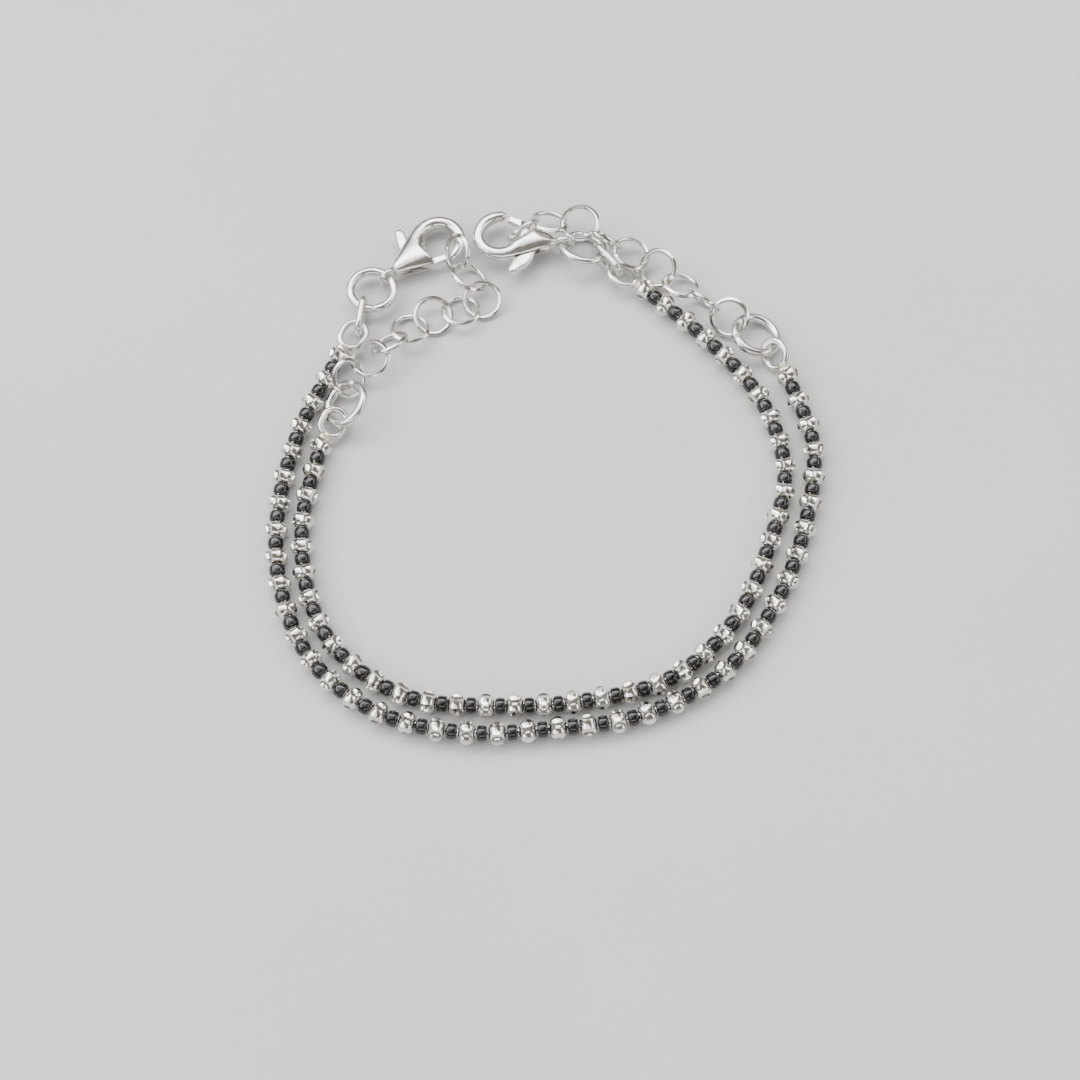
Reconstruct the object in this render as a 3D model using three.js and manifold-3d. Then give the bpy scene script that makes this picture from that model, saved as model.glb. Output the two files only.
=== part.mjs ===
// Anklet: two strings of silver and black beads, clasped end to end into one loop that lies in two turns.
// Millimetres, +Z up. The loop lies on the ground plane z = 0.
import * as THREE from "three";
import { mergeVertices } from "three/addons/utils/BufferGeometryUtils.js";
import Module from "manifold-3d";

const wasm = await Module();
wasm.setup();

// ---- driving dimensions ----
const BEADS_PER_STRING = 40;
const BEAD_SIDES = 10;
const SILVER_BEAD = { radius: 1.5, halfLength: 1.12, crownHalfLength: 0.5, endRadius: 0.62 };
const BLACK_BEAD = { radius: 1.03, halfLength: 0.55 };
const END_BEAD = { radius: 1.5, halfLength: 1.0, crownHalfLength: 0.5, endRadius: 0.7 };
const END_RING = { halfLength: 1.95, halfWidth: 1.53, wireRadius: 0.42, fromBead: 3.7 };
const SOLDER = { startRadius: 0.85, endRadius: 0.5, start: 0.8, end: 1.9 };
const CHAIN_LINK = { radius: 2.42, wireRadius: 0.33, wireSides: 5, segments: 12 };
const JUMP_RING = { radius: 2.9, wireRadius: 0.6, wireSides: 6, segments: 14 };
const CONNECTING_LINK = { halfLength: 2.65, halfWidth: 1.32, wireRadius: 0.47 };
const OVAL_WIRE_SIDES = 6;
const OVAL_SEGMENTS = 14;
const BEAD_CENTRE_HEIGHT = 1.5;
const LOFT_SIDES = 12;

// ---- layout of the loop, seen from above ----

// Places that each string's thread runs through, from its left end round the front to its right end.
const OUTER_ROUTE = [
  { x: -26.5, y: 26.4 },
  { x: -31.2, y: 15.7 },
  { x: -33.5, y: 4.3 },
  { x: -32.8, y: -6.5 },
  { x: -28.5, y: -16.4 },
  { x: -20.3, y: -23.2 },
  { x: -9.6, y: -25.9 },
  { x: 1.6, y: -25.4 },
  { x: 12.7, y: -23.6 },
  { x: 22.9, y: -17.9 },
  { x: 29.8, y: -8.5 },
  { x: 33.9, y: 2.2 },
  { x: 35.4, y: 13.3 },
  { x: 32.5, y: 23.5 },
];
const INNER_ROUTE = [
  { x: -28.4, y: 13.3 },
  { x: -30.3, y: 2.4 },
  { x: -29.0, y: -8.0 },
  { x: -24.5, y: -15.9 },
  { x: -16.1, y: -21.3 },
  { x: -5.4, y: -22.4 },
  { x: 5.8, y: -21.7 },
  { x: 16.3, y: -18.7 },
  { x: 24.4, y: -11.0 },
  { x: 29.1, y: -0.7 },
  { x: 31.5, y: 10.0 },
  { x: 28.6, y: 20.5 },
  { x: 21.9, y: 29.1 },
  { x: 14.0, y: 36.5 },
];

// The four end beads: heading is the way their soldered ring points, roll turns the ring about that line.
const END_BEADS = [
  { name: "end_bead_outer_left", x: -26.5, y: 26.4, heading: 61, roll: 4 },
  { name: "end_bead_inner_left", x: -28.4, y: 13.3, heading: 65, roll: 18 },
  { name: "end_bead_inner_right", x: 14.0, y: 36.5, heading: 142, roll: 14 },
  { name: "end_bead_outer_right", x: 32.5, y: 23.5, heading: 116, roll: -43 },
];

// Round rings: tilt is how far the ring's axis leans from upright, toward is the way it leans.
const CHAIN_LINKS = [
  { name: "chain_left_link_1", x: -11.05, y: 41.6, z: 2.45, tilt: 57, toward: -157 },
  { name: "chain_left_link_2", x: -9.45, y: 38.3, z: 1.7, tilt: 34, toward: 35 },
  { name: "chain_left_link_3", x: -7.7, y: 35.2, z: 1.05, tilt: 16, toward: -98 },
  { name: "chain_left_link_4", x: -10.5, y: 33.6, z: 1, tilt: 15, toward: 92 },
  { name: "chain_left_link_5", x: -14.2, y: 32.75, z: 1.15, tilt: 18, toward: -75 },
  { name: "chain_left_link_6", x: -17.2, y: 30.7, z: 1.3, tilt: 19, toward: 87 },
  { name: "chain_left_link_7", x: -19.85, y: 28.15, z: 2.1, tilt: 45, toward: 125 },
  { name: "chain_left_link_8", x: -22.3, y: 25.8, z: 2.15, tilt: 12, toward: -144 },
  { name: "chain_left_link_9", x: -24.95, y: 22.9, z: 2.1, tilt: 45, toward: -29 },
  { name: "chain_right_link_1", x: -2.3, y: 45.15, z: 2.6, tilt: 71, toward: 127 },
  { name: "chain_right_link_2", x: 1.3, y: 46.1, z: 3, tilt: 30, toward: 76 },
  { name: "chain_right_link_3", x: 5.35, y: 46, z: 2.95, tilt: 8, toward: -133 },
  { name: "chain_right_link_4", x: 8.75, y: 43.65, z: 2.9, tilt: 59, toward: 54 },
  { name: "chain_right_link_5", x: 12.3, y: 41.8, z: 2, tilt: 18, toward: 18 },
  { name: "chain_right_link_6", x: 15.75, y: 39.7, z: 1.7, tilt: 33, toward: -130 },
  { name: "chain_right_link_7", x: 18.75, y: 36.95, z: 1.9, tilt: 28, toward: 61 },
  { name: "chain_right_link_8", x: 21.7, y: 34.3, z: 2.6, tilt: 69, toward: 54 },
  { name: "chain_right_link_9", x: 25.05, y: 32, z: 2.1, tilt: 38, toward: -113 },
];
const JUMP_RINGS = [
  { name: "clasp_ring_left", x: -22.35, y: 36.3, z: 1.8, tilt: 2, toward: 20 },
  { name: "chain_end_ring_left", x: -25.3, y: 19.05, z: 2.25, tilt: 34, toward: 174 },
  { name: "clasp_ring_right", x: 5.9, y: 42.7, z: 1.85, tilt: 25, toward: 65 },
  { name: "chain_end_ring_right", x: 28.55, y: 29.65, z: 1.5, tilt: 18, toward: 31 },
];

// Oval links that stand on edge: heading is the way the long axis points, roll turns the link about it.
const CONNECTING_LINKS = [
  { name: "connecting_link_left", x: -23.7, y: 32.3, z: 1.85, heading: 83, roll: -89 },
  { name: "connecting_link_right", x: 9, y: 40.6, z: 1.85, heading: 128, roll: -85 },
];

// Each clasp: place of its own origin, by the bail, and the way its hook points.
const CLASPS = [
  { name: "left", x: -20.42, y: 38.28, z: 1.7, heading: 41.9 },
  { name: "right", x: 3.4, y: 43.2, z: 2.2, heading: 174.5 },
];

// ---- lobster clasp, in its own frame: x from the bail to the hook, z across its thickness ----
const HOOK_CENTRE = { x: 8.9, y: -0.4 };
const EYE_RADIUS = 2.3;
const PIVOT = { x: 4.4, y: -0.5, pinRadius: 0.45, holeRadius: 0.7, bossRadius: 1.05 };
const BAIL = { x: 0.2, radius: 1.19, wireRadius: 0.36 };
const SLOT_HALF_HEIGHT = 0.8;
const LEVER_HALF_HEIGHT = 0.5;

// Body sections across x, from the neck by the bail to the root of the hook.
const BODY_SECTIONS = [
  { x: 1.12, yFrom: -0.5, yTo: 0.5, halfHeight: 0.5 },
  { x: 1.6, yFrom: -1.1, yTo: 1.1, halfHeight: 0.95 },
  { x: 3.0, yFrom: -1.8, yTo: 1.9, halfHeight: 1.35 },
  { x: 5.0, yFrom: -2.8, yTo: 2.55, halfHeight: 1.6 },
  { x: 6.9, yFrom: -3.45, yTo: 3.3, halfHeight: 1.6 },
];
// Hook sections round the eye, from the root at the body to the rounded tip.
const HOOK_SECTIONS = [
  { angle: 165, centreRadius: 3.3, halfWidth: 1.5, halfHeight: 1.55 },
  { angle: 140, centreRadius: 3.2, halfWidth: 1.3, halfHeight: 1.5 },
  { angle: 115, centreRadius: 3.05, halfWidth: 1.1, halfHeight: 1.25 },
  { angle: 90, centreRadius: 2.95, halfWidth: 0.93, halfHeight: 1.05 },
  { angle: 60, centreRadius: 2.87, halfWidth: 0.85, halfHeight: 0.9 },
  { angle: 30, centreRadius: 2.85, halfWidth: 0.83, halfHeight: 0.83 },
  { angle: 0, centreRadius: 2.85, halfWidth: 0.83, halfHeight: 0.83 },
  { angle: -30, centreRadius: 2.85, halfWidth: 0.83, halfHeight: 0.83 },
  { angle: -60, centreRadius: 2.85, halfWidth: 0.8, halfHeight: 0.8 },
  { angle: -80, centreRadius: 2.92, halfWidth: 0.7, halfHeight: 0.75 },
  { angle: -93, centreRadius: 3.0, halfWidth: 0.58, halfHeight: 0.6 },
  { angle: -98, centreRadius: 3.02, halfWidth: 0.3, halfHeight: 0.3 },
];
// Plan of the slot that the lever swings in.
const SLOT_OUTLINE = [
  { x: 1.8, y: -4.2 },
  { x: 7.4, y: -4.2 },
  { x: 7.4, y: 0.5 },
  { x: 5.9, y: 0.9 },
  { x: 6.75, y: 3.4 },
  { x: 7.1, y: 4.6 },
  { x: 2.6, y: 4.6 },
  { x: 1.8, y: -0.2 },
];
// Lever arms: the gate that closes the hook, and the thumb tab.
const GATE_OUTLINE = [
  { x: 4.1, y: -1.45 },
  { x: 8.2, y: -2.68 },
  { x: 8.5, y: -1.8 },
  { x: 4.9, y: 0.35 },
];
const TAB_OUTLINE = [
  { x: 3.6, y: 0.1 },
  { x: 5.3, y: -0.2 },
  { x: 6.95, y: 4.55 },
  { x: 5.65, y: 5.0 },
];
const TAB_END = { x: 6.3, y: 4.78, radius: 0.68 };

// ---- small tools ----
const radians = THREE.MathUtils.degToRad;

// A geometry as a closed solid for booleans.
function solidFrom(geometry) {
  const bare = new THREE.BufferGeometry();
  const flat = geometry.index ? geometry.toNonIndexed() : geometry;
  bare.setAttribute("position", flat.getAttribute("position"));
  const merged = mergeVertices(bare, 1e-4);
  return new wasm.Manifold(
    new wasm.Mesh({
      numProp: 3,
      vertProperties: new Float32Array(merged.attributes.position.array),
      triVerts: new Uint32Array(merged.index.array),
    }),
  );
}

// A solid back as a geometry.
function geometryFrom(solid) {
  const mesh = solid.getMesh();
  const geometry = new THREE.BufferGeometry();
  geometry.setAttribute("position", new THREE.BufferAttribute(new Float32Array(mesh.vertProperties), 3));
  geometry.setIndex(new THREE.BufferAttribute(new Uint32Array(mesh.triVerts), 1));
  return geometry;
}

function union(solids) {
  return solids.reduce((all, next) => all.add(next));
}

function material(color, metalness, roughness) {
  return new THREE.MeshStandardMaterial({ color, metalness, roughness });
}

const polishedSilver = () => material(0xd8d6d2, 1.0, 0.15);
const satinSilver = () => material(0xe2e2e0, 1.0, 0.3);
const blackGlass = () => material(0x0c0c0d, 0.0, 0.1);

// ---- strings of beads ----

// A closed profile turned about the y axis: rows are radius and distance along the axis.
function turned(rows, sides) {
  const first = rows[0];
  const last = rows[rows.length - 1];
  const points = [new THREE.Vector2(0, first.s)];
  for (const row of rows) points.push(new THREE.Vector2(row.r, row.s));
  points.push(new THREE.Vector2(0, last.s));
  return new THREE.LatheGeometry(points, sides);
}

function silverRows(centre, bead) {
  return [
    { r: bead.endRadius, s: centre - bead.halfLength },
    { r: bead.radius, s: centre - bead.crownHalfLength },
    { r: bead.radius, s: centre + bead.crownHalfLength },
    { r: bead.endRadius, s: centre + bead.halfLength },
  ];
}

function blackRows(centre) {
  return [
    { r: BLACK_BEAD.radius, s: centre - BLACK_BEAD.halfLength },
    { r: BLACK_BEAD.radius, s: centre + BLACK_BEAD.halfLength },
  ];
}

function curveThrough(route) {
  const points = route.map((place) => new THREE.Vector3(place.x, place.y, BEAD_CENTRE_HEIGHT));
  const curve = new THREE.CatmullRomCurve3(points, false, "catmullrom", 0.5);
  curve.arcLengthDivisions = 1000;
  return curve;
}

// Moves a straight turned body from the y axis onto a curve.
function bendAlong(geometry, curve) {
  const length = curve.getLength();
  const up = new THREE.Vector3(0, 0, 1);
  const position = geometry.getAttribute("position");
  for (let i = 0; i < position.count; i++) {
    const along = position.getY(i) / length;
    const centre = curve.getPointAt(along);
    const side = new THREE.Vector3().crossVectors(up, curve.getTangentAt(along)).normalize();
    centre.addScaledVector(side, position.getZ(i));
    centre.addScaledVector(up, position.getX(i));
    position.setXYZ(i, centre.x, centre.y, centre.z);
  }
  return geometry;
}

// Black, silver, black ... black: the beads between the two end beads, with their thread, in one body.
function beadString(name, route) {
  const curve = curveThrough(route);
  const spacing = curve.getLength() / (BEADS_PER_STRING - 1);
  const rows = [...blackRows(spacing / 2)];
  for (let i = 1; i < BEADS_PER_STRING - 1; i++) {
    rows.push(...silverRows(i * spacing, SILVER_BEAD));
    rows.push(...blackRows((i + 0.5) * spacing));
  }
  const body = bendAlong(turned(rows, BEAD_SIDES), curve);
  const mesh = new THREE.Mesh(body, polishedSilver());
  mesh.name = name;
  return mesh;
}

// ---- rings and links ----

function roundRing(size) {
  return new THREE.TorusGeometry(size.radius, size.wireRadius, size.wireSides, size.segments);
}

// An oval ring with straight sides along x: a round one whose two halves are pulled apart.
function ovalRing(size) {
  const ring = new THREE.TorusGeometry(size.halfWidth, size.wireRadius, OVAL_WIRE_SIDES, OVAL_SEGMENTS);
  const pull = size.halfLength - size.halfWidth;
  const position = ring.getAttribute("position");
  for (let i = 0; i < position.count; i++) {
    const x = position.getX(i);
    position.setX(i, x + pull * Math.sign(x));
  }
  return ring;
}

// A ring set down with its axis leaning from upright.
function leaningRing(geometry, row, finish) {
  const mesh = new THREE.Mesh(geometry, finish);
  mesh.name = row.name;
  mesh.position.set(row.x, row.y, row.z);
  mesh.rotation.set(0, radians(row.tilt), radians(row.toward), "ZYX");
  return mesh;
}

// A long piece laid with its x axis along a heading and rolled about it.
function headedPiece(geometry, row, z, finish) {
  const mesh = new THREE.Mesh(geometry, finish);
  mesh.name = row.name;
  mesh.position.set(row.x, row.y, z);
  mesh.rotation.set(radians(row.roll), 0, radians(row.heading), "ZYX");
  return mesh;
}

// An end bead with its oval ring soldered on: bead, solder collar and ring are one solid.
function endBead(row) {
  const bead = turned(silverRows(0, END_BEAD), BEAD_SIDES).rotateZ(-Math.PI / 2);
  const collarRows = [
    { r: SOLDER.startRadius, s: SOLDER.start },
    { r: SOLDER.endRadius, s: SOLDER.end },
  ];
  const collar = turned(collarRows, 8).rotateZ(-Math.PI / 2);
  const ring = ovalRing(END_RING).translate(END_RING.fromBead, 0, 0);
  const solid = union([solidFrom(bead), solidFrom(collar), solidFrom(ring)]);
  return headedPiece(geometryFrom(solid), row, BEAD_CENTRE_HEIGHT, polishedSilver());
}

// ---- clasps ----

// A smooth bar through oval sections: each has a centre, a direction across it in plan, and two half sizes.
function barThrough(sections) {
  const bar = new THREE.CylinderGeometry(1, 1, 1, LOFT_SIDES, sections.length - 1);
  const position = bar.getAttribute("position");
  for (let i = 0; i < position.count; i++) {
    const index = Math.round((0.5 - position.getY(i)) * (sections.length - 1));
    const section = sections[index];
    const across = position.getX(i) * section.halfWidth;
    const up = position.getZ(i) * section.halfHeight;
    position.setXYZ(i, section.x + section.acrossX * across, section.y + section.acrossY * across, up);
  }
  return solidFrom(bar);
}

function claspBodyBar() {
  const sections = BODY_SECTIONS.map((row) => ({
    x: row.x,
    y: (row.yFrom + row.yTo) / 2,
    acrossX: 0,
    acrossY: 1,
    halfWidth: (row.yTo - row.yFrom) / 2,
    halfHeight: row.halfHeight,
  }));
  return barThrough(sections);
}

function claspHookBar() {
  const sections = HOOK_SECTIONS.map((row) => {
    const acrossX = Math.cos(radians(row.angle));
    const acrossY = Math.sin(radians(row.angle));
    return {
      x: HOOK_CENTRE.x + row.centreRadius * acrossX,
      y: HOOK_CENTRE.y + row.centreRadius * acrossY,
      acrossX,
      acrossY,
      halfWidth: row.halfWidth,
      halfHeight: row.halfHeight,
    };
  });
  return barThrough(sections);
}

// A flat plate of the given plan, centred on z = 0.
function plate(outline, halfHeight) {
  const shape = new THREE.Shape(outline.map((point) => new THREE.Vector2(point.x, point.y)));
  const geometry = new THREE.ExtrudeGeometry(shape, { depth: 2 * halfHeight, bevelEnabled: false });
  return solidFrom(geometry.translate(0, 0, -halfHeight));
}

// A round post along z, centred on z = 0.
function post(x, y, radius, halfHeight, sides) {
  const geometry = new THREE.CylinderGeometry(radius, radius, 2 * halfHeight, sides);
  return solidFrom(geometry.rotateX(Math.PI / 2).translate(x, y, 0));
}

function claspBody() {
  const eye = post(HOOK_CENTRE.x, HOOK_CENTRE.y, EYE_RADIUS, 3, 20);
  const bail = new THREE.TorusGeometry(BAIL.radius, BAIL.wireRadius, 6, 14)
    .rotateX(Math.PI / 2)
    .translate(BAIL.x, 0, 0);
  const pin = post(PIVOT.x, PIVOT.y, PIVOT.pinRadius, SLOT_HALF_HEIGHT + 0.4, 10);
  return claspBodyBar()
    .subtract(eye)
    .add(claspHookBar())
    .add(solidFrom(bail))
    .subtract(plate(SLOT_OUTLINE, SLOT_HALF_HEIGHT))
    .add(pin);
}

function claspLever() {
  const boss = post(PIVOT.x, PIVOT.y, PIVOT.bossRadius, LEVER_HALF_HEIGHT, 12);
  const hole = post(PIVOT.x, PIVOT.y, PIVOT.holeRadius, 2, 12);
  const gate = plate(GATE_OUTLINE, LEVER_HALF_HEIGHT);
  const tab = plate(TAB_OUTLINE, LEVER_HALF_HEIGHT);
  const tabEnd = post(TAB_END.x, TAB_END.y, TAB_END.radius, LEVER_HALF_HEIGHT, 12);
  return union([boss, gate, tab, tabEnd]).subtract(hole);
}

function claspPiece(solid, row, name) {
  return headedPiece(geometryFrom(solid), { ...row, name, roll: 0 }, row.z, polishedSilver());
}

// ---- the anklet ----
const layout = new THREE.Group();
layout.add(beadString("bead_string_outer", OUTER_ROUTE));
layout.add(beadString("bead_string_inner", INNER_ROUTE));
for (const row of END_BEADS) layout.add(endBead(row));
for (const row of CHAIN_LINKS) layout.add(leaningRing(roundRing(CHAIN_LINK), row, satinSilver()));
for (const row of JUMP_RINGS) layout.add(leaningRing(roundRing(JUMP_RING), row, satinSilver()));
for (const row of CONNECTING_LINKS) {
  layout.add(headedPiece(ovalRing(CONNECTING_LINK), row, row.z, satinSilver()));
}
for (const row of CLASPS) {
  layout.add(claspPiece(claspBody(), row, "clasp_body_" + row.name));
  layout.add(claspPiece(claspLever(), row, "clasp_lever_" + row.name));
}

// The frame's origin is the middle of the underside of the whole loop.
layout.updateMatrixWorld(true);
const box = new THREE.Box3().setFromObject(layout, true);
layout.position.set(-(box.min.x + box.max.x) / 2, -(box.min.y + box.max.y) / 2, -box.min.z);

const anklet = new THREE.Group();
anklet.name = "anklet";
anklet.add(layout);
export default anklet;
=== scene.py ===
import math
import random

import bmesh
import bpy
import numpy as np
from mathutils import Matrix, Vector


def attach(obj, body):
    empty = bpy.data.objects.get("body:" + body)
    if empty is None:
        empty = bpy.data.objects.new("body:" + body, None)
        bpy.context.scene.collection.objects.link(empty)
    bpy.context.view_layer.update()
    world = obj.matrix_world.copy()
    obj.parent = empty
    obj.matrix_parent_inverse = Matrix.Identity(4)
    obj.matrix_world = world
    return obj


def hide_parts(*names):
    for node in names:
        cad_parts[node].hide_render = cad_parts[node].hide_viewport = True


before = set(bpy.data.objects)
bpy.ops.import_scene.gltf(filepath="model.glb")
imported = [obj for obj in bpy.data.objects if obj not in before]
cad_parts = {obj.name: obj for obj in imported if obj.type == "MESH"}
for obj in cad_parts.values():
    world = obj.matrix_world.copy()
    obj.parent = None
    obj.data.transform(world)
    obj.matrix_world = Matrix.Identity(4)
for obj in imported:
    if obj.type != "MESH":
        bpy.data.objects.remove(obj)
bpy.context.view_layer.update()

MM = 0.001
UP = np.array([0.0, 0.0, 1.0])

# Places below are in the layout of the CAD source. This is where its origin lies in the frame.
LAYOUT_SHIFT = np.array([-0.908, -10.574, 0.0])

# ---- sizes, in millimetres ----
BEADS_PER_STRING = 40
BEAD_CENTRE_HEIGHT = 1.5
SILVER = dict(radius=1.5, dome_length=1.18, round_to=1.07, half_length=1.12, flutes=9, flute_depth=0.12)
# The rolled rim at a silver bead's hole: distance in from the bead's end, and radius
SILVER_RIM = [(0.12, 0.36), (0.02, 0.4), (0, 0.46), (0, 0.54), (0.01, 0.58)]
# Powers below 1 make the black bead's ends and sides squarer. The floor of its hole lies at hole_start of
# the half length, and is hole_taper of the hole's radius.
BLACK = dict(radius=1.03, half_length=0.66, hole=0.34, end_power=0.62, side_power=0.42, hole_start=0.8,
             hole_taper=0.9)
BLACK_SIZE_RANGE = (0.97, 1.0)
THREAD_RADIUS = 0.17
THREAD_END_INSET = 0.6
END_RING = dict(half_length=1.95, half_width=1.53, wire=0.42, from_bead=3.7)
CHAIN_LINK = dict(radius=2.38, wire=0.33, straight_runs=7, flattening=0.1, lift=0.02)
# Flats cut along the chain's wire: share of its radius left, and turn of the flat round the wire in radians
WIRE_FLATS = [(0.86, 0.9), (0.88, -0.9)]
JUMP_RING = dict(radius=2.9, wire=0.6)
# Place of each jump ring's saw cut, in degrees round the ring
JUMP_RING_SEAMS = {"clasp_ring_left": 275, "chain_end_ring_left": 60, "clasp_ring_right": 90,
                   "chain_end_ring_right": 200}
# A CAD ring whose width is more than this share of its length is a round one.
ROUND_RATIO = 0.97
CONNECTING_LINK = dict(half_length=2.65, half_width=1.32, wire=0.47, seam=200, seam_width=0.06)
# Solder collar of an end bead: distance along from the bead's middle, and radius
SOLDER_SECTIONS = [
    (0.88, 0.3), (0.92, 0.86), (1.12, 0.9), (1.3, 0.72), (1.55, 0.58), (1.85, 0.52), (2.05, 0.3),
]
# How much wider and lower than round the collar is
SOLDER_OVAL = (1.15, 0.95)
# Its slow swelling and its fine lumps, as shares of its radius
SOLDER_SWELL = 0.05
SOLDER_GRAIN = 0.015
SOLDER_SEED = 4
FIRST_END_BEAD_SEED = 31
# Angles between faces, in degrees, past which an edge stays sharp
BEAD_SHARP_ANGLE = 21
CHAIN_SHARP_ANGLE = 24

OUTER_ROUTE = [
    (-26.5, 26.4), (-31.2, 15.7), (-33.5, 4.3), (-32.8, -6.5), (-28.5, -16.4), (-20.3, -23.2), (-9.6, -25.9),
    (1.6, -25.4), (12.7, -23.6), (22.9, -17.9), (29.8, -8.5), (33.9, 2.2), (35.4, 13.3), (32.5, 23.5),
]
INNER_ROUTE = [
    (-28.4, 13.3), (-30.3, 2.4), (-29.0, -8.0), (-24.5, -15.9), (-16.1, -21.3), (-5.4, -22.4), (5.8, -21.7),
    (16.3, -18.7), (24.4, -11.0), (29.1, -0.7), (31.5, 10.0), (28.6, 20.5), (21.9, 29.1), (14.0, 36.5),
]
# name: place of the bead, heading of its ring, roll of the ring about that line
END_BEADS = {
    "end_bead_outer_left": (-26.5, 26.4, 61, 4),
    "end_bead_inner_left": (-28.4, 13.3, 65, 18),
    "end_bead_inner_right": (14.0, 36.5, 142, 14),
    "end_bead_outer_right": (32.5, 23.5, 116, -43),
}
# side: place of the clasp's own origin, by the bail, and the heading of its hook
CLASPS = {"left": (-20.42, 38.28, 1.7, 41.9), "right": (3.4, 43.2, 2.2, 174.5)}
CHAIN_LINKS = 9

# Lobster clasp in its own frame: x from the bail to the hook, z across its thickness.
HOOK_CENTRE = (8.9, -0.4)
PIVOT = (4.4, -0.5)
PIN_RADIUS = 0.45
PIN_HOLE_RADIUS = 0.6
BOSS_RADIUS = 1.05
BAIL = dict(x=0.2, radius=1.19, wire=0.38)
SLOT_HALF_HEIGHT = 0.58
LEVER_HALF_HEIGHT = 0.44
PIN_PAST_SLOT = 0.4
CUTTER_HALF_HEIGHT = 3
HOLE_CUTTER_HALF_HEIGHT = 2
# Grain of the skin that melts bodies together, and how often its edges are rounded
BODY_BLEND = dict(voxel=0.1, passes=36)
BODY_CAST = dict(voxel=0.07, passes=10)
LEVER_CAST = dict(voxel=0.06, passes=9)
# x, lowest y, highest y, half height
BODY_SECTIONS = [
    (1.05, -0.45, 0.45, 0.45), (1.6, -0.95, 0.95, 0.85), (3.0, -1.7, 1.6, 1.25), (5.0, -2.7, 2.5, 1.42),
    (6.9, -3.4, 3.3, 1.36),
]
# angle round the eye, radius of the middle, half width, half height
HOOK_SECTIONS = [
    (165, 3.2, 1.38, 1.32), (140, 3.1, 1.25, 1.27), (115, 2.98, 1.1, 1.14), (90, 2.9, 0.99, 1.02),
    (60, 2.86, 0.93, 0.95), (30, 2.85, 0.91, 0.92), (0, 2.85, 0.9, 0.91), (-30, 2.85, 0.9, 0.9),
    (-60, 2.86, 0.87, 0.87), (-80, 2.92, 0.8, 0.82), (-96, 3.0, 0.68, 0.7), (-102.5, 3.02, 0.46, 0.46),
]
EYE_OUTLINE_RADIUS = 2.05
EYE_BACK = [(6.75, 1.25), (6.3, 0.4), (6.2, -0.9), (6.3, -2.2), (6.5, -4.2), (9.0, -4.2), (9.0, 1.25)]
SLOT_OUTLINE = [
    (1.8, -4.2), (7.4, -4.2), (7.4, 0.5), (5.9, 0.9), (6.75, 3.4), (7.1, 4.6), (2.6, 4.6), (1.8, -0.2),
]
GATE_OUTLINE = [(4.0, -1.2), (5.4, -2.75), (7.82, -3.4), (8.02, -2.6), (6.3, -1.9), (4.9, 0.3)]
# x and y of the middle of the thumb tab, its half width and half height, from the pin outward
TAB_SECTIONS = {
    "left": [(4.6, 0.2, 0.8, 0.44), (4.8, 1.8, 0.85, 0.44), (5.1, 2.8, 0.76, 0.46), (5.45, 3.6, 0.68, 0.54),
             (5.66, 4.2, 0.6, 0.52), (5.76, 4.5, 0.36, 0.32)],
    "right": [(4.6, 0.2, 0.8, 0.44), (4.95, 2.0, 1.05, 0.44), (5.5, 3.1, 1.15, 0.46), (6.2, 4.1, 0.9, 0.56),
              (6.6, 4.9, 0.7, 0.56), (6.74, 5.3, 0.38, 0.32)],
}


# ---- materials ----
def new_material(name):
    material = bpy.data.materials.new(name)
    material.use_nodes = True
    nodes = material.node_tree.nodes
    return material, nodes, material.node_tree.links, nodes["Principled BSDF"]


def object_noise(nodes, links, scale, detail, roughness=0.55):
    """Noise over a piece's own coordinates, in metres."""
    coordinates = nodes.new("ShaderNodeTexCoord")
    noise = nodes.new("ShaderNodeTexNoise")
    noise.inputs["Scale"].default_value = scale
    noise.inputs["Detail"].default_value = detail
    noise.inputs["Roughness"].default_value = roughness
    links.new(coordinates.outputs["Object"], noise.inputs["Vector"])
    return noise


def tint(nodes, links, shader, noise, stops):
    """Base colour from noise: stops are (noise value, colour)."""
    node = nodes.new("ShaderNodeValToRGB")
    for element, (position, color) in zip(node.color_ramp.elements, stops):
        element.position = position
        element.color = (*color, 1.0)
    links.new(noise.outputs["Fac"], node.inputs["Fac"])
    links.new(node.outputs["Color"], shader.inputs["Base Color"])


def polish(nodes, links, shader, noise, smoothest, roughest):
    """Roughness from noise."""
    node = nodes.new("ShaderNodeMapRange")
    node.inputs["From Min"].default_value = 0.3
    node.inputs["From Max"].default_value = 0.7
    node.inputs["To Min"].default_value = smoothest
    node.inputs["To Max"].default_value = roughest
    links.new(noise.outputs["Fac"], node.inputs["Value"])
    links.new(node.outputs["Result"], shader.inputs["Roughness"])


def grain(nodes, links, shader, noise, strength, distance):
    """Bump from noise; distance is in metres."""
    bump = nodes.new("ShaderNodeBump")
    bump.inputs["Strength"].default_value = strength
    bump.inputs["Distance"].default_value = distance
    links.new(noise.outputs["Fac"], bump.inputs["Height"])
    links.new(bump.outputs["Normal"], shader.inputs["Normal"])


def metal(name, bright, warm, rough, grain_scale, grain_depth):
    """Silver: warm and neutral patches, uneven polish and a fine grain of scratches."""
    material, nodes, links, shader = new_material(name)
    shader.inputs["Metallic"].default_value = 1.0
    patches = object_noise(nodes, links, scale=520, detail=4.0)
    tint(nodes, links, shader, patches, [(0.36, warm), (0.62, bright)])
    polish(nodes, links, shader, object_noise(nodes, links, scale=900, detail=5.0), *rough)
    scratches = object_noise(nodes, links, scale=grain_scale, detail=6.0, roughness=0.65)
    grain(nodes, links, shader, scratches, strength=grain_depth, distance=0.00004)
    return material


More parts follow.
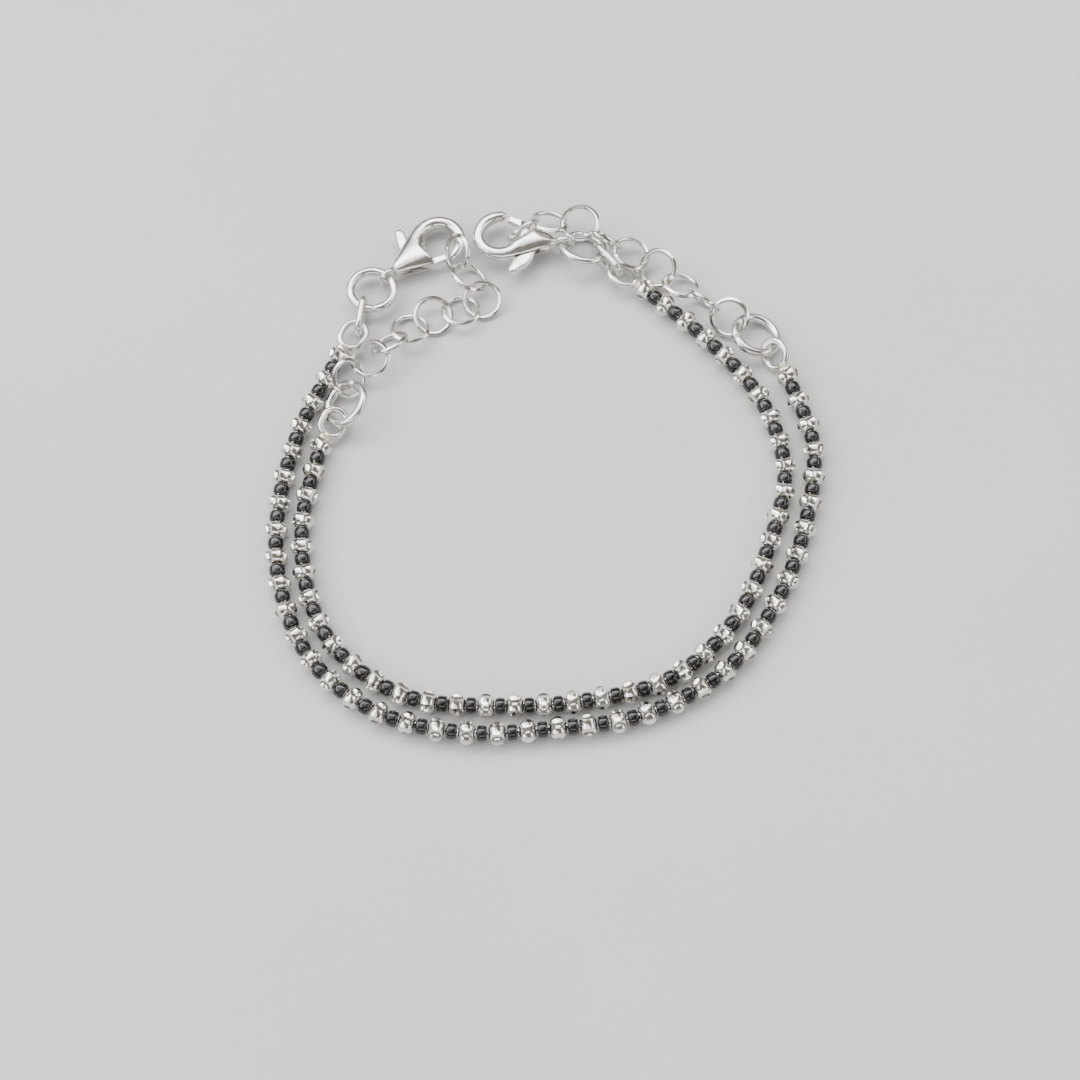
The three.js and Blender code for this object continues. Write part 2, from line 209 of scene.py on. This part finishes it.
def black_glass():
    material, nodes, links, shader = new_material("black_glass")
    patches = object_noise(nodes, links, scale=600, detail=3.0)
    tint(nodes, links, shader, patches, [(0.3, (0.004, 0.004, 0.005)), (0.7, (0.016, 0.015, 0.016))])
    polish(nodes, links, shader, object_noise(nodes, links, scale=1400, detail=3.0), 0.06, 0.2)
    shader.inputs["IOR"].default_value = 1.55
    waves = object_noise(nodes, links, scale=700, detail=2.0)
    grain(nodes, links, shader, waves, strength=0.35, distance=0.00012)
    return material


def dark_thread():
    material, nodes, links, shader = new_material("dark_thread")
    fibre = object_noise(nodes, links, scale=2600, detail=4.0)
    tint(nodes, links, shader, fibre, [(0.3, (0.012, 0.009, 0.008)), (0.7, (0.05, 0.034, 0.027))])
    shader.inputs["Roughness"].default_value = 0.75
    grain(nodes, links, shader, fibre, strength=0.7, distance=0.00006)
    return material


def pale_floor():
    material, nodes, links, shader = new_material("pale_floor")
    clouds = object_noise(nodes, links, scale=14, detail=3.0)
    tint(nodes, links, shader, clouds, [(0.3, (0.60, 0.595, 0.59)), (0.7, (0.64, 0.635, 0.63))])
    shader.inputs["Roughness"].default_value = 0.85
    return material


BEAD_SILVER = metal("bead_silver", bright=(0.84, 0.83, 0.81), warm=(0.66, 0.63, 0.58), rough=(0.15, 0.22),
                    grain_scale=2600, grain_depth=0.10)
CAST_SILVER = metal("cast_silver", bright=(0.82, 0.81, 0.795), warm=(0.70, 0.675, 0.64), rough=(0.17, 0.27),
                    grain_scale=2200, grain_depth=0.12)
WIRE_SILVER = metal("wire_silver", bright=(0.80, 0.795, 0.78), warm=(0.67, 0.645, 0.61), rough=(0.14, 0.24),
                    grain_scale=3000, grain_depth=0.16)
RING_SILVER = metal("ring_silver", bright=(0.79, 0.785, 0.77), warm=(0.67, 0.65, 0.62), rough=(0.18, 0.30),
                    grain_scale=3000, grain_depth=0.20)
SOLDER = metal("solder", bright=(0.86, 0.82, 0.72), warm=(0.74, 0.66, 0.50), rough=(0.24, 0.38),
               grain_scale=1800, grain_depth=0.5)
BLACK_GLASS = black_glass()
DARK_THREAD = dark_thread()


# ---- meshes ----
def face_outward(mesh):
    """Turns every face of closed bodies to the outside."""
    editable = bmesh.new()
    editable.from_mesh(mesh)
    bmesh.ops.recalc_face_normals(editable, faces=editable.faces)
    editable.to_mesh(mesh)
    editable.free()


def add_to_scene(name, data):
    thing = bpy.data.objects.new(name, data)
    bpy.context.scene.collection.objects.link(thing)
    return thing


def turns_round(count):
    """Equal turns of a full circle, in radians."""
    return np.arange(count) * math.tau / count


def make_object(name, vertices, faces, materials, sharp_angle=None, face_slots=None):
    """A mesh object from millimetre points of the layout."""
    mesh = bpy.data.meshes.new(name)
    points = (np.asarray(vertices, float) + LAYOUT_SHIFT) * MM
    mesh.from_pydata(points.tolist(), [], faces)
    for material in materials:
        mesh.materials.append(material)
    if face_slots is not None:
        mesh.polygons.foreach_set("material_index", face_slots)
    face_outward(mesh)
    mesh.shade_smooth()
    if sharp_angle is not None:
        mesh.set_sharp_from_angle(angle=math.radians(sharp_angle))
    return add_to_scene(name, mesh)


def declare(thing, body, slot, *nodes):
    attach(thing, body)
    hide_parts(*nodes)


class Pile:
    """Points and faces of many small closed bodies, gathered into one mesh."""

    def __init__(self):
        self.points = []
        self.faces = []
        self.slots = []
        self.count = 0

    def add(self, points, faces, slot=0):
        self.points.append(np.asarray(points, float))
        self.faces.extend([tuple(i + self.count for i in face) for face in faces])
        self.slots.extend([slot] * len(faces))
        self.count += len(points)

    def made(self, name, materials, sharp_angle=None):
        return make_object(name, np.concatenate(self.points), self.faces, materials, sharp_angle, self.slots)


def grid_faces(rows, columns, close_rows=False):
    """Quads of a grid of points that closes round its columns, and round its rows where asked."""
    faces = []
    for i in range(rows if close_rows else rows - 1):
        for j in range(columns):
            a = i * columns + j
            b = i * columns + (j + 1) % columns
            c = ((i + 1) % rows) * columns + (j + 1) % columns
            d = ((i + 1) % rows) * columns + j
            faces.append((a, b, c, d))
    return faces


def capped(points, rows, sides):
    """Points and faces of a tube made of rows of points, with both of its ends closed."""
    faces = grid_faces(rows, sides)
    faces.append(tuple(reversed(range(sides))))
    faces.append(tuple(range((rows - 1) * sides, rows * sides)))
    return np.array(points), faces


def smooth_rows(rows, steps):
    """Rows of numbers with smoothly interpolated rows between them."""
    rows = np.array(rows, float)
    rows = np.vstack([2 * rows[0] - rows[1], rows, 2 * rows[-1] - rows[-2]])
    out = []
    for p0, p1, p2, p3 in zip(rows, rows[1:], rows[2:], rows[3:]):
        start, end = (p2 - p0) / 2, (p3 - p1) / 2
        for t in np.arange(steps) / steps:
            out.append(p1 + start * t + (3 * (p2 - p1) - 2 * start - end) * t * t
                       + (2 * (p1 - p2) + start + end) * t ** 3)
    out.append(rows[-2])
    return out


# ---- the strings ----
class Route:
    """A smooth curve through points in plan, whose places are found by the length along it."""

    def __init__(self, places, samples=200):
        self.curve = np.array(smooth_rows([(x, y, BEAD_CENTRE_HEIGHT) for x, y in places], samples))
        steps = np.linalg.norm(np.diff(self.curve, axis=0), axis=1)
        self.lengths = np.concatenate([[0], np.cumsum(steps)])
        self.length = self.lengths[-1]

    def at(self, s):
        return np.array([np.interp(s, self.lengths, self.curve[:, k]) for k in range(3)])

    def frame_at(self, s, reach=0.02):
        """The place at a length along the route, its direction, and the level direction across it."""
        tangent = self.at(min(s + reach, self.length)) - self.at(max(s - reach, 0))
        tangent /= np.linalg.norm(tangent)
        return self.at(s), tangent, np.cross(UP, tangent)


def fluted_bead(rows=18, per_flute=8):
    """A round bead cut all round with hollow mirror flutes that run from hole to hole, along x."""
    flutes = SILVER["flutes"]
    columns = flutes * per_flute
    turns = turns_round(columns)
    off = (np.arange(columns) % per_flute) / per_flute * 2 - 1
    hollow = 1 - SILVER["flute_depth"] * (1 - off ** 2)
    end = SILVER["half_length"]
    rim = [(inset - end, r) for inset, r in SILVER_RIM]
    points = [(x, r * math.cos(a), r * math.sin(a)) for x, r in rim for a in turns]
    for i in range(rows + 1):
        x = -SILVER["round_to"] * math.cos(math.pi * i / rows)
        dome = SILVER["radius"] * math.sqrt(1 - (x / SILVER["dome_length"]) ** 2)
        points += [(x, dome * h * math.cos(a), dome * h * math.sin(a)) for a, h in zip(turns, hollow)]
    points += [(-x, r * math.cos(a), r * math.sin(a)) for x, r in reversed(rim) for a in turns]
    count = rows + 1 + 2 * len(rim)
    return capped(points, count, columns)


def seed_bead(rows=10, columns=20):
    """A short round glass bead with soft edges and a hole, along x."""
    points = []
    hole_start, hole_radius = BLACK["half_length"] * BLACK["hole_start"], BLACK["hole"] * BLACK["hole_taper"]
    section = [(-hole_start, hole_radius)]
    for i in range(rows + 1):
        a = math.pi * i / rows
        s = -BLACK["half_length"] * math.copysign(abs(math.cos(a)) ** BLACK["end_power"], math.cos(a))
        r = BLACK["hole"] + (BLACK["radius"] - BLACK["hole"]) * math.sin(a) ** BLACK["side_power"]
        section.append((s, r))
    section.append((hole_start, hole_radius))
    for s, r in section:
        points += [(s, r * math.cos(a), r * math.sin(a)) for a in turns_round(columns)]
    return capped(points, len(section), columns)


def set_on(points, centre, along, side, roll):
    """Bead points, made along x, turned onto a string and rolled about it."""
    c, s = math.cos(roll), math.sin(roll)
    y = points[:, 1] * c - points[:, 2] * s
    z = points[:, 1] * s + points[:, 2] * c
    return centre + np.outer(points[:, 0], along) + np.outer(y, side) + np.outer(z, UP)


def thread_tube(route, start, end, steps=420, sides=8):
    """The thread from one length along the route to another."""
    points = []
    for s in np.linspace(start, end, steps):
        centre, _, side = route.frame_at(s)
        for a in turns_round(sides):
            points.append(centre + THREAD_RADIUS * (math.cos(a) * side + math.sin(a) * UP))
    return capped(points, steps, sides)


def build_string(name, places, seed):
    """Silver beads, a black one between each two, and their thread; the end beads come later."""
    route = Route(places)
    spacing = route.length / (BEADS_PER_STRING - 1)
    luck = random.Random(seed)
    bead, bead_faces = fluted_bead()
    seed_points, seed_faces = seed_bead()
    silver, black = Pile(), Pile()
    for i in range(1, BEADS_PER_STRING - 1):
        centre, along, side = route.frame_at(i * spacing)
        silver.add(set_on(bead, centre, along, side, luck.uniform(0, math.tau)), bead_faces)
    for i in range(BEADS_PER_STRING - 1):
        centre, along, side = route.frame_at((i + 0.5) * spacing)
        size = luck.uniform(*BLACK_SIZE_RANGE)
        black.add(set_on(seed_points * size, centre, along, side, luck.uniform(0, math.tau)), seed_faces)
    node = "bead_string_" + name
    slot = "silver_and_black_beads"
    declare(silver.made("silver_beads_" + name, [BEAD_SILVER], BEAD_SHARP_ANGLE), "anklet", slot, node)
    declare(black.made("black_beads_" + name, [BLACK_GLASS]), "anklet", slot, node)
    points, faces = thread_tube(route, THREAD_END_INSET, route.length - THREAD_END_INSET)
    declare(make_object("thread_" + name, points, faces, [DARK_THREAD]), "anklet", slot, node)


build_string("outer", OUTER_ROUTE, seed=11)
build_string("inner", INNER_ROUTE, seed=23)


# ---- wire rings ----
def ring_axes(node):
    """Centre, long axis, short axis and normal of a CAD ring, in layout millimetres."""
    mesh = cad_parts[node].data
    points = np.empty(len(mesh.vertices) * 3)
    mesh.vertices.foreach_get("co", points)
    points = np.unique(np.round(points.reshape(-1, 3) / MM, 4), axis=0)
    centre = points.mean(axis=0)
    _, spans, axes = np.linalg.svd(points - centre, full_matrices=False)
    normal = axes[2] if axes[2][2] > 0 else -axes[2]
    is_round = spans[1] > ROUND_RATIO * spans[0]
    long_axis = np.array([1.0, 0.0, 0.0]) if is_round else axes[0]
    long_axis = long_axis - (long_axis @ normal) * normal
    long_axis /= np.linalg.norm(long_axis)
    return centre - LAYOUT_SHIFT, long_axis, np.cross(normal, long_axis), normal


def wire_ring(half_length, half_width, wire, steps, sides, wobble=None, flats=None):
    """A closed wire along a circle or a stadium in the xy plane: steps sections of sides points each."""
    pull = half_length - half_width
    points = []
    for i in range(steps):
        a = (i + 0.5) * math.tau / steps
        out = np.array([math.cos(a), math.sin(a), 0])
        centre = half_width * out + np.array([math.copysign(pull, math.cos(a)), 0, 0])
        centre = centre + out * (wobble(a) if wobble else 0.0)
        for b in turns_round(sides):
            r = wire * (flats(a, b) if flats else 1.0)
            points.append(centre + r * (math.cos(b) * out + math.sin(b) * UP))
    return np.array(points), grid_faces(steps, sides, close_rows=True)


def diamond_cut(a, b):
    """Chain wire cut flat on its upper and lower outer sides: share of its radius left at turn b."""
    left = 1.0
    for depth, turn in WIRE_FLATS:
        facing = math.cos(b - turn)
        if facing > 0:
            left = min(left, depth / max(facing, 1e-6))
    return left


def straight_runs(runs, turn, amount):
    """Outline of a ring hammered into short straight runs."""
    half = math.pi / runs

    def wobble(a):
        off = ((a + turn) % (2 * half)) - half
        return amount * (math.cos(half) / math.cos(off) - 1) + amount * CHAIN_LINK["lift"]

    return wobble


def seam(at, width=0.05, depth=0.28):
    """A closed saw cut across a jump ring's wire."""
    def flats(a, b):
        off = abs((a - at + math.pi) % math.tau - math.pi)
        return 1.0 - depth * math.exp(-((off / width) ** 2))

    return flats


def place(points, axes):
    """Points of a ring made in the xy plane, laid on the axes of a CAD ring."""
    centre, long_axis, short_axis, normal = axes
    in_plane = np.outer(points[:, 0], long_axis) + np.outer(points[:, 1], short_axis)
    return centre + in_plane + np.outer(points[:, 2], normal)


def build_chain(side, seed):
    luck = random.Random(seed)
    pile = Pile()
    names = [f"chain_{side}_link_{i}" for i in range(1, CHAIN_LINKS + 1)]
    for name in names:
        amount = CHAIN_LINK["radius"] * CHAIN_LINK["flattening"]
        wobble = straight_runs(CHAIN_LINK["straight_runs"], luck.uniform(0, math.tau), amount)
        points, faces = wire_ring(CHAIN_LINK["radius"], CHAIN_LINK["radius"], CHAIN_LINK["wire"],
                                  steps=84, sides=16, wobble=wobble, flats=diamond_cut)
        pile.add(place(points, ring_axes(name)), faces)
    links = pile.made("chain_links_" + side, [WIRE_SILVER], CHAIN_SHARP_ANGLE)
    declare(links, "anklet", "silver_links", *names)


def build_jump_ring(name, seam_at):
    points, faces = wire_ring(JUMP_RING["radius"], JUMP_RING["radius"], JUMP_RING["wire"],
                              steps=160, sides=24, flats=seam(math.radians(seam_at)))
    thing = make_object(name + "_wire", place(points, ring_axes(name)), faces, [RING_SILVER])
    declare(thing, "anklet", "silver_links", name)


def build_connecting_link(name):
    size = CONNECTING_LINK
    points, faces = wire_ring(size["half_length"], size["half_width"], size["wire"],
                              steps=96, sides=20, flats=seam(math.radians(size["seam"]), size["seam_width"]))
    thing = make_object(name + "_wire", place(points, ring_axes(name)), faces, [RING_SILVER])
    declare(thing, "anklet", "silver_links", name)


build_chain("left", seed=3)
build_chain("right", seed=5)
for ring_name, ring_seam in JUMP_RING_SEAMS.items():
    build_jump_ring(ring_name, ring_seam)
for link_name in ("connecting_link_left", "connecting_link_right"):
    build_connecting_link(link_name)


# ---- end beads ----
def turn_about_x(points, degrees):
    c, s = math.cos(math.radians(degrees)), math.sin(math.radians(degrees))
    x, y, z = points.T
    return np.stack([x, y * c - z * s, y * s + z * c], axis=1)


def headed(points, x, y, z, heading):
    """Points turned about z to a heading in degrees, and moved to a place."""
    c, s = math.cos(math.radians(heading)), math.sin(math.radians(heading))
    along, across, up = points.T
    turned = np.stack([along * c - across * s, along * s + across * c, up], axis=1)
    return turned + np.array([x, y, z])


def solder_collar(sides=24):
    """A lumpy cone of solder between the bead and its ring."""
    points = []
    luck = random.Random(SOLDER_SEED)
    wider, lower = SOLDER_OVAL
    for s, r in SOLDER_SECTIONS:
        for a in turns_round(sides):
            swell = SOLDER_SWELL * math.sin(3 * a + 5 * s)
            lump = 1 + swell + luck.uniform(-SOLDER_GRAIN, SOLDER_GRAIN)
            points.append((s, r * lump * math.cos(a) * wider, r * lump * math.sin(a) * lower))
    return capped(points, len(SOLDER_SECTIONS), sides)


def build_end_bead(name, x, y, heading, roll, seed):
    pile = Pile()
    bead, faces = fluted_bead()
    collar, collar_faces = solder_collar()
    ring, ring_faces = wire_ring(END_RING["half_length"], END_RING["half_width"], END_RING["wire"],
                                 steps=96, sides=20)
    ring = ring + np.array([END_RING["from_bead"], 0, 0])
    spin = random.Random(seed).uniform(0, 360)
    for points, its_faces, slot in ((turn_about_x(bead, spin), faces, 0),
                                    (turn_about_x(collar, roll), collar_faces, 2),
                                    (turn_about_x(ring, roll), ring_faces, 1)):
        pile.add(headed(points, x, y, BEAD_CENTRE_HEIGHT, heading), its_faces, slot)
    thing = pile.made(name + "_soldered", [BEAD_SILVER, RING_SILVER, SOLDER], BEAD_SHARP_ANGLE)
    declare(thing, "anklet", "silver_end_beads", name)


for number, (bead_name, row) in enumerate(END_BEADS.items()):
    build_end_bead(bead_name, *row, seed=FIRST_END_BEAD_SEED + number)


# ---- clasps ----
def loft(sections, fullness=1.0, sides=48):
    """A closed bar through oval sections: centre, direction across, half width and half height of each."""
    points = []
    for centre, across, half_width, half_height in sections:
        for a in turns_round(sides):
            wide = math.copysign(abs(math.cos(a)) ** fullness, math.cos(a))
            high = math.copysign(abs(math.sin(a)) ** fullness, math.sin(a))
            points.append(centre + half_width * wide * across + half_height * high * UP)
    return capped(points, len(sections), sides)


def prism(outline, half_height):
    """A flat plate of an outline in plan, as thick above the layout's plane as below it."""
    points = [(x, y, z) for z in (-half_height, half_height) for x, y in outline]
    return capped(points, 2, len(outline))


def disc(x, y, radius, half_height, sides=40):
    outline = [(x + radius * math.cos(a), y + radius * math.sin(a)) for a in turns_round(sides)]
    return prism(outline, half_height)


def work_object(pieces):
    """A helper in millimetres, made of closed bodies with outward faces; it is removed after use."""
    pile = Pile()
    for points, faces in pieces:
        pile.add(points, faces)
    mesh = bpy.data.meshes.new("work")
    mesh.from_pydata(np.concatenate(pile.points).tolist(), [], pile.faces)
    face_outward(mesh)
    return add_to_scene("work", mesh)


def cut(thing, *tools):
    """Lets each tool be cut out of a helper; baked carries the cuts out."""
    for tool in tools:
        step = thing.modifiers.new("cut", "BOOLEAN")
        step.operation = "DIFFERENCE"
        step.solver = "EXACT"
        step.object = tool


def baked(thing):
    """The points and faces of a helper after its modifiers; the helper is deleted."""
    mesh = bpy.data.meshes.new_from_object(thing.evaluated_get(bpy.context.evaluated_depsgraph_get()))
    points = np.empty(len(mesh.vertices) * 3)
    mesh.vertices.foreach_get("co", points)
    faces = [tuple(face.vertices) for face in mesh.polygons]
    bpy.data.meshes.remove(mesh)
    bpy.data.objects.remove(thing)
    return points.reshape(-1, 3), faces


def rounded(points, faces, passes):
    """Rounds off a skin's edges: each pass moves every point half way to its neighbours' middle."""
    corners = np.array([(face + (face[0], face[0]))[:5] for face in faces])
    edges = np.concatenate([corners[:, (i, i + 1)] for i in range(4)])
    edges = np.unique(np.sort(edges[edges[:, 0] != edges[:, 1]], axis=1), axis=0)
    one, other = edges[:, 0], edges[:, 1]
    count = len(points)
    degree = np.bincount(edges.ravel(), minlength=count)
    for _ in range(passes):
        for k in range(3):
            line = points[:, k]
            total = np.bincount(one, line[other], count) + np.bincount(other, line[one], count)
            points[:, k] = (line + total / degree) / 2
    return points


def cast(pieces, voxel, passes):
    """Bodies melted into one skin whose edges are rounded, as cast and tumbled metal is."""
    thing = work_object(pieces)
    remesh = thing.modifiers.new("skin", "REMESH")
    remesh.mode = "VOXEL"
    remesh.voxel_size = voxel
    points, faces = baked(thing)
    return rounded(points, faces, passes), faces


def clasp_body():
    """Body and hook melted together, cut for the eye and the slot, with the pin and the bail added."""
    spine = []
    for x, low, high, half_height in smooth_rows(BODY_SECTIONS, steps=6):
        middle = np.array([x, (low + high) / 2, 0])
        spine.append((middle, np.array([0, 1, 0]), (high - low) / 2, half_height))
    hook = []
    for angle, radius, half_width, half_height in smooth_rows(HOOK_SECTIONS, steps=5):
        across = np.array([math.cos(math.radians(angle)), math.sin(math.radians(angle)), 0])
        hook.append((np.array([*HOOK_CENTRE, 0]) + radius * across, across, half_width, half_height))
    slot = work_object([prism(SLOT_OUTLINE, SLOT_HALF_HEIGHT)])
    eye = work_object([disc(*HOOK_CENTRE, EYE_OUTLINE_RADIUS, CUTTER_HALF_HEIGHT, sides=72)])
    eye_back = work_object([prism(EYE_BACK, CUTTER_HALF_HEIGHT)])
    body = work_object([loft(spine, fullness=0.9)])
    cut(body, eye, eye_back)
    blend = work_object([cast([baked(body), loft(hook)], **BODY_BLEND)])
    cut(blend, slot)
    pieces = [baked(blend), disc(*PIVOT, PIN_RADIUS, SLOT_HALF_HEIGHT + PIN_PAST_SLOT)]
    points, faces = wire_ring(BAIL["radius"], BAIL["radius"], BAIL["wire"], steps=64, sides=20)
    pieces.append((np.stack([points[:, 0] + BAIL["x"], points[:, 2], points[:, 1]], axis=1), faces))
    for tool in (slot, eye, eye_back):
        bpy.data.objects.remove(tool)
    return cast(pieces, **BODY_CAST)


def clasp_lever(side):
    """Boss, gate and thumb tab, each bored for the pin and melted together."""
    hole = work_object([disc(*PIVOT, PIN_HOLE_RADIUS, HOLE_CUTTER_HALF_HEIGHT)])
    tab = []
    rows = smooth_rows(TAB_SECTIONS[side], steps=5)
    for row, ahead in zip(rows, rows[1:] + [2 * rows[-1] - rows[-2]]):
        along = np.array([ahead[0] - row[0], ahead[1] - row[1], 0])
        along /= np.linalg.norm(along)
        tab.append((np.array([row[0], row[1], 0]), np.cross(along, UP), row[2], row[3]))
    pieces = []
    for piece in (disc(*PIVOT, BOSS_RADIUS, LEVER_HALF_HEIGHT), prism(GATE_OUTLINE, LEVER_HALF_HEIGHT),
                  loft(tab, fullness=0.7)):
        part = work_object([piece])
        cut(part, hole)
        pieces.append(baked(part))
    bpy.data.objects.remove(hole)
    return cast(pieces, **LEVER_CAST)


body_points, body_faces = clasp_body()
for side_name, (x, y, z, heading) in CLASPS.items():
    lever_points, lever_faces = clasp_lever(side_name)
    for part, points, faces, body in (("body", body_points, body_faces, "anklet"),
                                      ("lever", lever_points, lever_faces, "lever_" + side_name)):
        laid = headed(points, x, y, z, heading)
        thing = make_object(f"cast_{part}_{side_name}", laid, faces, [CAST_SILVER])
        declare(thing, body, "silver_clasps", f"clasp_{part}_{side_name}")


# ---- stage, light and camera ----
FLOOR_HALF = 9
floor_mesh = bpy.data.meshes.new("floor")
floor_corners = [(x * FLOOR_HALF, y * FLOOR_HALF, 0) for x, y in ((-1, -1), (1, -1), (1, 1), (-1, 1))]
floor_mesh.from_pydata(floor_corners, [], [(0, 1, 2, 3)])
floor_mesh.materials.append(pale_floor())
floor = add_to_scene("floor", floor_mesh)

world = bpy.data.worlds.new("studio")
world.use_nodes = True
background = world.node_tree.nodes["Background"]
background.inputs["Color"].default_value = (0.50, 0.46, 0.42, 1)
background.inputs["Strength"].default_value = 0.45
bpy.context.scene.world = world


def softbox(name, place_at, size, power, color=(1, 1, 1)):
    """A rectangular lamp aimed at the middle of the floor."""
    light = bpy.data.lights.new(name, "AREA")
    light.shape = "RECTANGLE"
    light.size, light.size_y = size
    light.energy = power
    light.color = color
    lamp = add_to_scene(name, light)
    lamp.location = place_at
    lamp.rotation_euler = (-Vector(place_at)).to_track_quat("-Z", "Y").to_euler()


softbox("back_window", (-0.03, 0.30, 0.50), size=(0.8, 0.26), power=3.4)
softbox("left_window", (-0.50, 0.02, 0.38), size=(0.7, 0.3), power=3.3, color=(0.97, 0.98, 1.0))
softbox("right_fill", (0.50, 0.0, 0.34), size=(0.7, 0.16), power=1.5, color=(1.0, 0.96, 0.92))
softbox("front_fill", (0.0, -0.52, 0.3), size=(0.7, 0.12), power=1.1)

# A very wide sun keeps the floor pale far from the softboxes.
sky_light = bpy.data.lights.new("sky", "SUN")
sky_light.energy = 2.1
sky_light.angle = 1.2
sky = add_to_scene("sky", sky_light)
sky.rotation_euler = (math.radians(-18), math.radians(-24), 0)

CAMERA_ELEVATION = math.radians(65.98)
CAMERA_DISTANCE = 311.8
camera_data = bpy.data.cameras.new("camera")
camera_data.lens = 81.7
camera_data.sensor_width = 36
camera_data.clip_start = 0.01
camera = add_to_scene("camera", camera_data)
aim = (LAYOUT_SHIFT + np.array([0, 0, BEAD_CENTRE_HEIGHT])) * MM
away = np.array([0, -math.cos(CAMERA_ELEVATION), math.sin(CAMERA_ELEVATION)]) * CAMERA_DISTANCE * MM
camera.location = aim + away
camera.rotation_euler = (math.pi / 2 - CAMERA_ELEVATION, 0, 0)
bpy.context.scene.camera = camera
